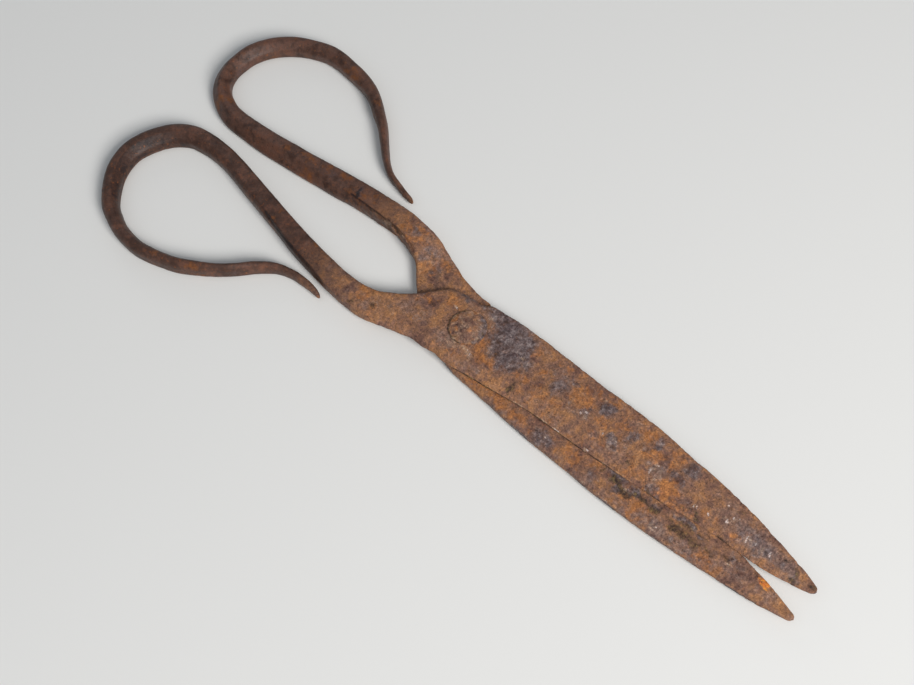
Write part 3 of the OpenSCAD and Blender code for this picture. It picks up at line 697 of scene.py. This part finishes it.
def make_rivet():
    sag, rim, r = 0.55, 0.5, 5.72
    rad = (r * r + sag * sag) / (2 * sag)
    dome = [(r * math.sin(t), HEAD_Z + rim + math.sqrt(rad * rad - (r * math.sin(t)) ** 2) - (rad - sag))
            for t in np.linspace(math.pi / 2, 0, 26)]
    rimline = [(5.3, HEAD_Z), (5.55, HEAD_Z + 0.04), (5.68, HEAD_Z + 0.16), (5.72, HEAD_Z + 0.3)]
    prof = line([(0, 0), (3.7, 0), (4.05, 0.05), (4.22, 0.2), (4.22, 0.36), (4.1, 0.5), (2.98, 0.5), (2.98, HEAD_Z), (5.3, HEAD_Z)], 0.22)
    prof += rimline[1:] + dome[1:]

    def hammered(p):
        x, y, z = p.T
        rr = np.hypot(x, y)
        ang = np.arctan2(y, x)
        head = (z > HEAD_Z + 0.02)
        f1, f2, rnd = cells(p * np.array([1, 1, 0.3]), 2.6, 5)
        d = 0.05 * noise(p, 3.2, 3) - 0.07 * np.clip(0.6 - f1, 0, 1) + 0.03 * layers(p, 1.1, 8, 3)
        spokes = np.cos(ang * 11 + 2.4 * noise(p, 3.0, 14)) * step(1.5, 3.5, rr) * 0.022
        g1, _, pr = cells(p, 1.0, 21)
        pit = (pr > 0.6) * np.clip(1 - (g1 / 0.4) ** 2, 0, 1)
        d = np.where(head, d + spokes - 0.07 * pit, 0)
        out = p.copy()
        # the head leans: it stands proud on the bows' side and its far rim is
        # hammered down nearly flush
        lean = 0.5 + 0.5 * np.cos(ang - math.radians(215))
        flush = 1 - 0.72 * (1 - lean) ** 1.5 * step(0.5, 5.4, rr)
        out[:, 2] = np.where(head, HEAD_Z + (z - HEAD_Z) * flush, z)
        out[:, 2] += np.where(head, np.minimum(d, 0.03) * flush - 0.02, 0)
        out[:, 2] = np.where(head, np.maximum(out[:, 2], HEAD_Z + 0.01), out[:, 2])
        edge = 1 + np.where(head & (rr > 4), 0.018 * noise(p * np.array([1, 1, 0]), 3.6, 31), 0)
        edge = np.minimum(edge, 5.75 / np.maximum(rr, 5.2))
        out[:, :2] *= edge[:, None]
        tail = (z < 0.52) & (rr > 0.5)
        low = 0.06 * np.clip(noise(p * np.array([1, 1, 0]), 2.4, 41), 0, 1) + 0.04 * pit
        out[:, 2] += np.where(tail & (z < 0.1), low, 0)
        # the cavity mark: dents, with painted shade added round the head's rim and over the shank and tail
        return out, np.clip(-d / 0.12 + np.where(head, 0.7 * step(5.2, 5.7, rr), 0.3), 0, 1)

    def rust(p):
        top = step(HEAD_Z, HEAD_Z + 0.1, p[:, 2])
        warp = 1.1 * layers(p, 3.0, 51, 3, 0.6)
        rr = np.hypot(p[:, 0], p[:, 1])
        lean = 0.5 + 0.5 * np.cos(np.arctan2(p[:, 1], p[:, 0]) - math.radians(215))
        # painted shadow: the rim wall on the side away from the key lamp is darkened
        painted_shade_wall = 1.3 * (rr > 5.3) * (p[:, 2] < HEAD_Z + 0.55) * step(0.45, 0.75, lean) * (p[:, 2] > HEAD_Z - 0.01)
        return {"slate": top * (0.85 * step(1.6, 5.2, p[:, 0] + 0.5 * p[:, 1] + warp) + 0.5 * step(3.2, 5.4, p[:, 1] + warp)),
                "orange": top * 0.8 * step(-0.1, 0.5, layers(p, 3.6, 53, 3)),
                "pale": 0.42 * top,
                "dark": np.maximum(painted_shade_wall, top * 0.35 * step(0.1, 0.6, layers(p, 2.6, 57, 3)))}

    return lathe("rivet", prof, 144, hammered, rust)


def make_burr():
    prof = line([(3.0, 0.5), (5.2, 0.5), (5.42, 0.58), (5.5, 0.75), (5.5, 0.95), (5.42, 1.12), (5.2, 1.2), (3.0, 1.2)], 0.2)
    prof += line([(3.0, 1.2), (3.0, 0.5)], 0.2)[1:-1]

    def wear_and_painted_light(p):
        rr = np.hypot(p[:, 0], p[:, 1])
        d = 0.03 * layers(p, 1.8, 61, 3) * (rr > 4.2)
        out = p.copy()
        out[:, :2] *= (1 + np.minimum(0.012 * noise(p * np.array([1, 1, 0]), 3.4, 63) * (rr > 4.3), 0.0))[:, None]
        out[:, 2] += np.where(p[:, 2] < 0.6, np.abs(d), -np.abs(d))
        return out, np.clip(np.abs(d) / 0.04, 0, 1)

    return lathe("burr", prof, 112, wear_and_painted_light)


upper = make_half("upper_half_forged", UPPER, UPPER_WORK, 1)
lower = make_half("lower_half_forged", LOWER, LOWER_WORK, -1)
rivet = make_rivet()
burr = make_burr()

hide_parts("upper_half")
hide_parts("lower_half")
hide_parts("pivot_rivet")
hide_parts("rivet_washer")
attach(upper, "upper")
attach(lower, "lower")
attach(rivet, "lower")
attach(burr, "lower")


# ---------------------------------------------------------------- materials
LIGHT = 0.94  # how much of a surface's colour comes back under these lamps


def shade(r, g, b):
    """The surface colour that looks like this screen colour under the scene's lamps."""
    out = []
    for c in (r, g, b):
        c /= 255
        c = c / 12.92 if c <= 0.04045 else ((c + 0.055) / 1.055) ** 2.4
        out.append(max(0.004, (c - 0.016) / LIGHT))
    return (*out, 1)


class Tree:
    """Short names for building a node tree."""

    def __init__(self, name):
        self.mat = bpy.data.materials.new(name)
        self.mat.use_nodes = True
        self.nt = self.mat.node_tree
        self.nt.nodes.clear()
        self.out = self.nt.nodes.new("ShaderNodeOutputMaterial")
        self.bsdf = self.nt.nodes.new("ShaderNodeBsdfPrincipled")
        self.nt.links.new(self.bsdf.outputs[0], self.out.inputs[0])
        co = self.nt.nodes.new("ShaderNodeTexCoord")
        self.co = co.outputs["Object"]

    def put(self, socket, value):
        if hasattr(value, "is_linked"):
            self.nt.links.new(value, socket)
        else:
            socket.default_value = value

    def noise(self, size_mm, detail=4, rough=0.55, warp=0.0, seed=0.0, stretch=None):
        n = self.nt.nodes.new("ShaderNodeTexNoise")
        n.noise_dimensions = "4D"
        n.inputs["W"].default_value = seed
        n.inputs["Scale"].default_value = 1000 / size_mm
        n.inputs["Detail"].default_value = detail
        n.inputs["Roughness"].default_value = rough
        n.inputs["Distortion"].default_value = warp
        co = self.co
        if stretch:
            mp = self.nt.nodes.new("ShaderNodeMapping")
            mp.inputs["Scale"].default_value = stretch
            self.nt.links.new(co, mp.inputs[0])
            co = mp.outputs[0]
        self.nt.links.new(co, n.inputs["Vector"])
        return n.outputs["Fac"]

    def voronoi(self, size_mm, feature="F1", seed=0.0):
        n = self.nt.nodes.new("ShaderNodeTexVoronoi")
        n.voronoi_dimensions = "4D"
        n.feature = feature
        n.inputs["W"].default_value = seed
        n.inputs["Scale"].default_value = 1000 / size_mm
        self.nt.links.new(self.co, n.inputs["Vector"])
        return n.outputs["Distance"]

    def mark(self, name):
        n = self.nt.nodes.new("ShaderNodeAttribute")
        n.attribute_name = name
        return n.outputs["Fac"]

    def math(self, op, a, b=0.0, c=None, clamp=False):
        n = self.nt.nodes.new("ShaderNodeMath")
        n.operation = op
        n.use_clamp = clamp
        self.put(n.inputs[0], a)
        self.put(n.inputs[1], b)
        if c is not None:
            self.put(n.inputs[2], c)
        return n.outputs[0]

    def span(self, v, a, b, lo=0.0, hi=1.0):
        n = self.nt.nodes.new("ShaderNodeMapRange")
        n.interpolation_type = "SMOOTHSTEP"
        self.put(n.inputs[0], v)
        for i, x in enumerate((a, b, lo, hi)):
            n.inputs[i + 1].default_value = x
        return n.outputs[0]

    def ramp(self, v, stops):
        n = self.nt.nodes.new("ShaderNodeValToRGB")
        cr = n.color_ramp
        while len(cr.elements) < len(stops):
            cr.elements.new(0.5)
        for e, (at, col) in zip(cr.elements, stops):
            e.position = at
            e.color = col
        self.put(n.inputs[0], v)
        return n.outputs[0]

    def mix(self, fac, a, b, how="MIX"):
        n = self.nt.nodes.new("ShaderNodeMix")
        n.data_type = "RGBA"
        n.blend_type = how
        self.put(n.inputs[0], fac)
        self.put(n.inputs[6], a)
        self.put(n.inputs[7], b)
        return n.outputs[2]

    def bump(self, height, depth_mm, strength=1.0, under=None):
        n = self.nt.nodes.new("ShaderNodeBump")
        n.inputs["Strength"].default_value = strength
        n.inputs["Distance"].default_value = depth_mm * MM
        self.nt.links.new(height, n.inputs["Height"])
        if under is not None:
            self.nt.links.new(under, n.inputs["Normal"])
        return n.outputs[0]


def forged_iron(name, seed, bow_tint):
    t = Tree(name)
    mottle = t.noise(7.0, 5, 0.6, 0.4, seed)
    cloud = t.noise(2.6, 5, 0.65, 0.3, seed + 3)
    grain = t.noise(0.75, 4, 0.75, 0.0, seed + 5)
    speck = t.noise(0.36, 3, 0.7, 0.0, seed + 7)
    both = t.math("ADD", t.math("MULTIPLY", mottle, 0.45), t.math("MULTIPLY", cloud, 0.55))
    blade = t.ramp(both, [
        (0.33, shade(70, 50, 44)), (0.42, shade(108, 80, 71)), (0.49, shade(133, 99, 80)),
        (0.56, shade(152, 109, 76)), (0.66, shade(174, 130, 96))])
    bow = t.ramp(both, [
        (0.30, shade(52, 39, 35)), (0.42, shade(68, 51, 45)), (0.50, shade(*bow_tint)),
        (0.59, shade(98, 69, 58)), (0.72, shade(122, 84, 64))])
    col = t.mix(t.mark("bow"), blade, bow)
    # a greyish mauve bloom of fine rust dust
    haze = t.noise(4.2, 5, 0.7, 0.3, seed + 23)
    haze = t.span(t.math("ADD", t.math("MULTIPLY", t.mark("dust"), 0.45), haze), 0.44, 0.95)
    haze = t.math("MULTIPLY", haze, t.math("SUBTRACT", 1.0, t.math("MULTIPLY", t.mark("bow"), 0.75)))
    col = t.mix(t.math("MULTIPLY", haze, 0.95), col, t.ramp(t.noise(1.1, 4, 0.7, 0, seed + 25), [
        (0.34, shade(96, 76, 73)), (0.5, shade(124, 100, 92)), (0.66, shade(156, 132, 122))]))
    # orange bloom
    orange = t.span(t.math("ADD", t.mark("orange"), t.math("MULTIPLY", t.math("SUBTRACT", t.noise(1.9, 5, 0.65, 0.2, seed + 15), 0.5), 3.0)), 0.2, 1.0)
    bloom = t.ramp(t.noise(1.6, 4, 0.6, 0.2, seed + 9), [(0.38, shade(140, 91, 57)), (0.6, shade(176, 117, 68))])
    bloom = t.mix(t.mark("bow"), bloom, shade(118, 74, 44))
    col = t.mix(t.math("MULTIPLY", orange, 0.74), col, bloom)
    # slate-coloured scale
    edge = t.math("ADD", t.mark("slate"), t.math("MULTIPLY", t.math("SUBTRACT", cloud, 0.5), 2.6))
    slate = t.span(edge, 0.15, 1.0)
    scale = t.ramp(t.noise(1.3, 4, 0.7, 0.2, seed + 11), [
        (0.34, shade(48, 41, 42)), (0.45, shade(78, 70, 75)), (0.54, shade(101, 93, 97)), (0.65, shade(138, 129, 130))])
    scale = t.mix(t.mark("bow"), scale, shade(74, 64, 66))
    col = t.mix(t.math("MULTIPLY", slate, 0.85), col, scale)
    # dark scabs and painted shade (along the upper blade's cutting edge, beside and on the rivet's rim, on the upper
    # bow's inner slope), and the shadowed bottoms of pits
    dark = t.span(t.math("ADD", t.mark("dark"), t.math("MULTIPLY", t.math("SUBTRACT", cloud, 0.5), 2.4)), 0.3, 1.0)
    scab = t.ramp(t.noise(0.9, 4, 0.7, 0, seed + 19), [(0.37, shade(42, 34, 31)), (0.5, shade(74, 58, 49)), (0.6, shade(104, 86, 60)), (0.7, shade(138, 120, 78))])
    col = t.mix(t.math("MULTIPLY", dark, 0.92), col, t.mix(t.mark("bow"), scab, shade(44, 34, 31)))
    pits = t.span(t.mark("cavity"), 0.35, 0.9)
    col = t.mix(t.math("MULTIPLY", pits, 0.35), col, t.mix(t.mark("bow"), shade(92, 62, 46), shade(48, 38, 34)))
    # pale worn iron, with the painted highlight along the upper blade's cutting edge, and flecks of bare metal painted
    # near-white as glints
    pale = t.span(t.math("ADD", t.mark("pale"), t.math("MULTIPLY", t.math("SUBTRACT", t.noise(1.3, 4, 0.7, 0, seed + 33), 0.5), 2.2)), 0.25, 1.15)
    col = t.mix(t.math("MULTIPLY", pale, 0.75), col, t.mix(t.mark("bow"), shade(184, 158, 136), shade(126, 104, 92)))
    bare_metal_and_glint = t.span(t.math("ADD", t.mark("fleck"), t.math("MULTIPLY", t.math("SUBTRACT", t.noise(0.5, 2, 0.5, 0, seed + 17), 0.5), 2.4)), 0.42, 0.9)
    bare_metal_and_glint = t.math("MULTIPLY", bare_metal_and_glint, t.span(t.mark("fleck"), 0.05, 0.4))
    col = t.mix(t.math("MULTIPLY", bare_metal_and_glint, 0.8), col, shade(226, 208, 204))
    # bright orange: a rust stain at the lower blade's tip, and a painted orange glint on the upper bow's tail
    stain_and_glint = t.span(t.math("ADD", t.mark("stain_and_glint"), t.math("MULTIPLY", t.math("SUBTRACT", t.noise(1.1, 3, 0.6, 0, seed + 21), 0.5), 2.4)), 0.3, 1.1)
    col = t.mix(stain_and_glint, col, t.ramp(t.noise(1.4, 3, 0.6, 0, seed + 13), [(0.4, shade(196, 112, 62)), (0.6, shade(214, 146, 58))]))
    # fine speckle over everything
    fine = t.math("ADD", t.math("MULTIPLY", grain, 0.6), t.math("MULTIPLY", speck, 0.4))
    gritty = t.ramp(fine, [(0.38, (0.34, 0.30, 0.28, 1)), (0.46, (0.80, 0.78, 0.77, 1)), (0.54, (1.12, 1.10, 1.07, 1)), (0.63, (1.85, 1.72, 1.55, 1))])
    smooth = t.ramp(fine, [(0.37, (0.66, 0.62, 0.6, 1)), (0.5, (1, 1, 1, 1)), (0.64, (1.34, 1.28, 1.2, 1))])
    col = t.mix(1.0, col, t.mix(t.mark("bow"), gritty, smooth), "MULTIPLY")
    # crisp dark pinpoints, thick in some places and thin in others
    dot = t.math("SUBTRACT", 1.0, t.span(t.voronoi(0.85, "F1", seed + 2), 0.16, 0.34))
    dot = t.math("MULTIPLY", dot, t.span(t.noise(3.2, 4, 0.6, 0, seed + 27), 0.44, 0.62))
    col = t.mix(t.math("MULTIPLY", dot, 0.75), col, t.mix(t.mark("bow"), shade(70, 46, 38), shade(36, 28, 26)))
    # orange pinpoints on the bows and shanks
    warm = t.math("MULTIPLY", t.span(t.noise(1.0, 4, 0.7, 0, seed + 29), 0.56, 0.68), t.span(t.noise(8.0, 3, 0.5, 0, seed + 31), 0.42, 0.62))
    col = t.mix(t.math("MULTIPLY", t.math("MULTIPLY", warm, t.mark("bow")), 0.7), col, shade(140, 84, 50))
    t.put(t.bsdf.inputs["Base Color"], col)
    rough = t.math("ADD", 0.5, t.math("MULTIPLY", grain, 0.36))
    rough = t.math("SUBTRACT", rough, t.math("MULTIPLY", slate, 0.08))
    rough = t.math("SUBTRACT", rough, t.math("MULTIPLY", t.mark("bow"), 0.17))
    rough = t.math("SUBTRACT", rough, t.math("MULTIPLY", bare_metal_and_glint, 0.35), clamp=True)
    t.put(t.bsdf.inputs["Roughness"], rough)
    t.put(t.bsdf.inputs["Metallic"], t.math("MULTIPLY", bare_metal_and_glint, 0.5))
    t.bsdf.inputs["IOR"].default_value = 1.5
    t.bsdf.inputs["Specular IOR Level"].default_value = 0.42
    n = t.bump(cloud, 0.22, 0.8)
    n = t.bump(grain, 0.14, 0.9, n)
    n = t.bump(speck, 0.06, 0.8, n)
    t.put(t.bsdf.inputs["Normal"], n)
    return t.mat


def rivet_iron(name, seed, dark_tint, mid_tint, light_tint):
    t = Tree(name)
    cloud = t.noise(2.4, 5, 0.62, 0.3, seed)
    grain = t.noise(0.6, 3, 0.7, 0.0, seed + 2)
    speck = t.noise(0.3, 2, 0.6, 0.0, seed + 4)
    col = t.ramp(cloud, [(0.36, shade(*dark_tint)), (0.5, shade(*mid_tint)), (0.64, shade(*light_tint))])
    # painted shade in the dents
    col = t.mix(t.math("MULTIPLY", t.span(t.mark("cavity"), 0.3, 0.95), 0.6), col, shade(84, 60, 50))
    fine = t.math("ADD", t.math("MULTIPLY", grain, 0.6), t.math("MULTIPLY", speck, 0.4))
    col = t.mix(0.6, col, t.ramp(fine, [(0.4, (0.4, 0.4, 0.4, 1)), (0.62, (0.62, 0.6, 0.58, 1))]), "OVERLAY")
    t.put(t.bsdf.inputs["Base Color"], col)
    t.put(t.bsdf.inputs["Roughness"], t.math("ADD", 0.46, t.math("MULTIPLY", grain, 0.34)))
    t.bsdf.inputs["IOR"].default_value = 1.5
    t.bsdf.inputs["Specular IOR Level"].default_value = 0.5
    n = t.bump(cloud, 0.15, 0.8)
    n = t.bump(grain, 0.12, 0.9, n)
    n = t.bump(speck, 0.05, 0.8, n)
    t.put(t.bsdf.inputs["Normal"], n)
    return t.mat


def dress(ob, mat):
    ob.data.materials.clear()
    ob.data.materials.append(mat)


iron_up = forged_iron("rust_upper_iron", 1.0, (76, 57, 50))
iron_lo = forged_iron("rust_lower_iron", 20.0, (87, 65, 57))
iron_rv = forged_iron("rust_rivet_iron", 40.0, (100, 76, 64))
iron_br = rivet_iron("rust_burr_iron", 50.0, (84, 66, 58), (112, 84, 70), (132, 96, 74))
dress(upper, iron_up)
dress(lower, iron_lo)
dress(rivet, iron_rv)
dress(burr, iron_br)
# the hidden CAD nodes carry the same rust, in case one is shown
for node, mat in (("upper_half", iron_up), ("lower_half", iron_lo), ("pivot_rivet", iron_rv), ("rivet_washer", iron_br)):
    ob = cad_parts[node]
    if ob.material_slots:
        for sl in ob.material_slots:
            sl.material = mat
    else:
        ob.data.materials.append(mat)

# ------------------------------------------------------ floor, light, camera
bpy.ops.mesh.primitive_plane_add(size=4.0, location=(0, 0, 0))
floor = bpy.context.active_object
floor.name = "floor"
fm = Tree("pale_floor")
t = fm
t.put(t.bsdf.inputs["Base Color"], (0.76, 0.755, 0.74, 1))
t.bsdf.inputs["Roughness"].default_value = 0.9
t.bsdf.inputs["Specular IOR Level"].default_value = 0.2
floor.data.materials.append(fm.mat)


def lamp(name, where, at, size, power, colour, size_y=None):
    data = bpy.data.lights.new(name, "AREA")
    data.energy = power
    data.color = colour
    data.shape = "RECTANGLE" if size_y else "SQUARE"
    data.size = size
    if size_y:
        data.size_y = size_y
    ob = bpy.data.objects.new(name, data)
    bpy.context.scene.collection.objects.link(ob)
    from mathutils import Vector
    d = Vector(at) - Vector(where)
    ob.location = where
    ob.rotation_euler = d.to_track_quat("-Z", "Y").to_euler()
    return ob


lamp("key", (1.1, -0.16, 0.80), (0, 0, 0), 0.5, 21.6, (1.0, 0.985, 0.96))
lamp("fill", (-0.1, -0.45, 1.0), (0, 0, 0), 1.2, 1.5, (0.93, 0.97, 1.0))
lamp("rim", (-0.75, 0.3, 0.26), (-0.08, 0, 0), 0.3, 0.4, (0.95, 0.98, 1.0))
world = bpy.data.worlds.new("studio")
bpy.context.scene.world = world
world.use_nodes = True
world.node_tree.nodes["Background"].inputs[0].default_value = (0.86, 0.92, 1.0, 1)
world.node_tree.nodes["Background"].inputs[1].default_value = 0.22

cam = bpy.data.cameras.new("view")
cam.sensor_fit = "HORIZONTAL"
cam.sensor_width = 36.0
cam.lens = 49.234
cam.clip_start = 0.01
cam.clip_end = 20
view = bpy.data.objects.new("view", cam)
bpy.context.scene.collection.objects.link(view)
view.matrix_world = Matrix((
    (0.7015645, -0.57807408, 0.41669847, 0.151304),
    (0.7029143, 0.65748953, -0.27132824, -0.10336979),
    (-0.11712706, 0.48325757, 0.86760785, 0.31914901),
    (0, 0, 0, 1),
))
bpy.context.scene.camera = view
bpy.context.scene.view_settings.view_transform = "Standard"
bpy.context.scene.view_settings.look = "None"
